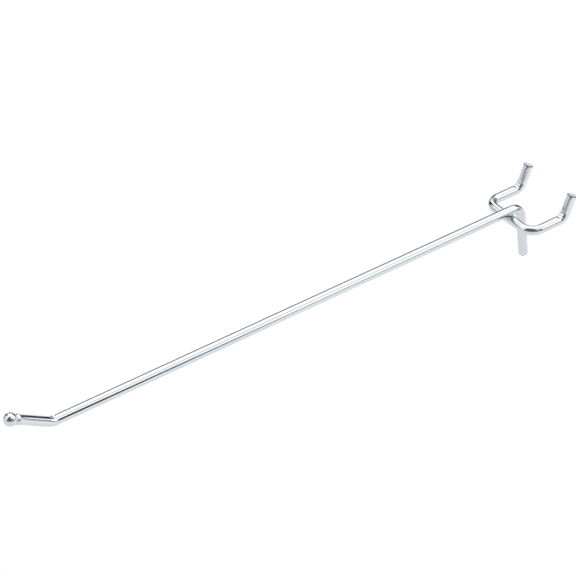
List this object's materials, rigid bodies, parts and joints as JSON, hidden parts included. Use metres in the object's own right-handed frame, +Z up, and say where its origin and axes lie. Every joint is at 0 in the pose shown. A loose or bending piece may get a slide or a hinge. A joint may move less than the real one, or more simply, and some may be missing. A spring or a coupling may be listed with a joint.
{
  "type": "single pegboard hook",
  "caption": "Long straight wire arm with an upturned ball tip, welded across a bent cross wire whose upturned prongs hang it on pegboard, steadied by a short leg.",
  "frame": {"origin": "on the front face of the board, midway between the two prongs, at the height of their axes", "axes": "+Y along the prongs into the board, so the arm runs along -Y; +X sideways from prong to prong; +Z up"},
  "size_m": [0.0292, 0.2495, 0.0358],
  "materials": {
    "plated_steel": "polished"
  },
  "bodies": {
    "root": {"arm_wire": "plated_steel", "prong_wire": "plated_steel"}
  },
  "joints": []
}
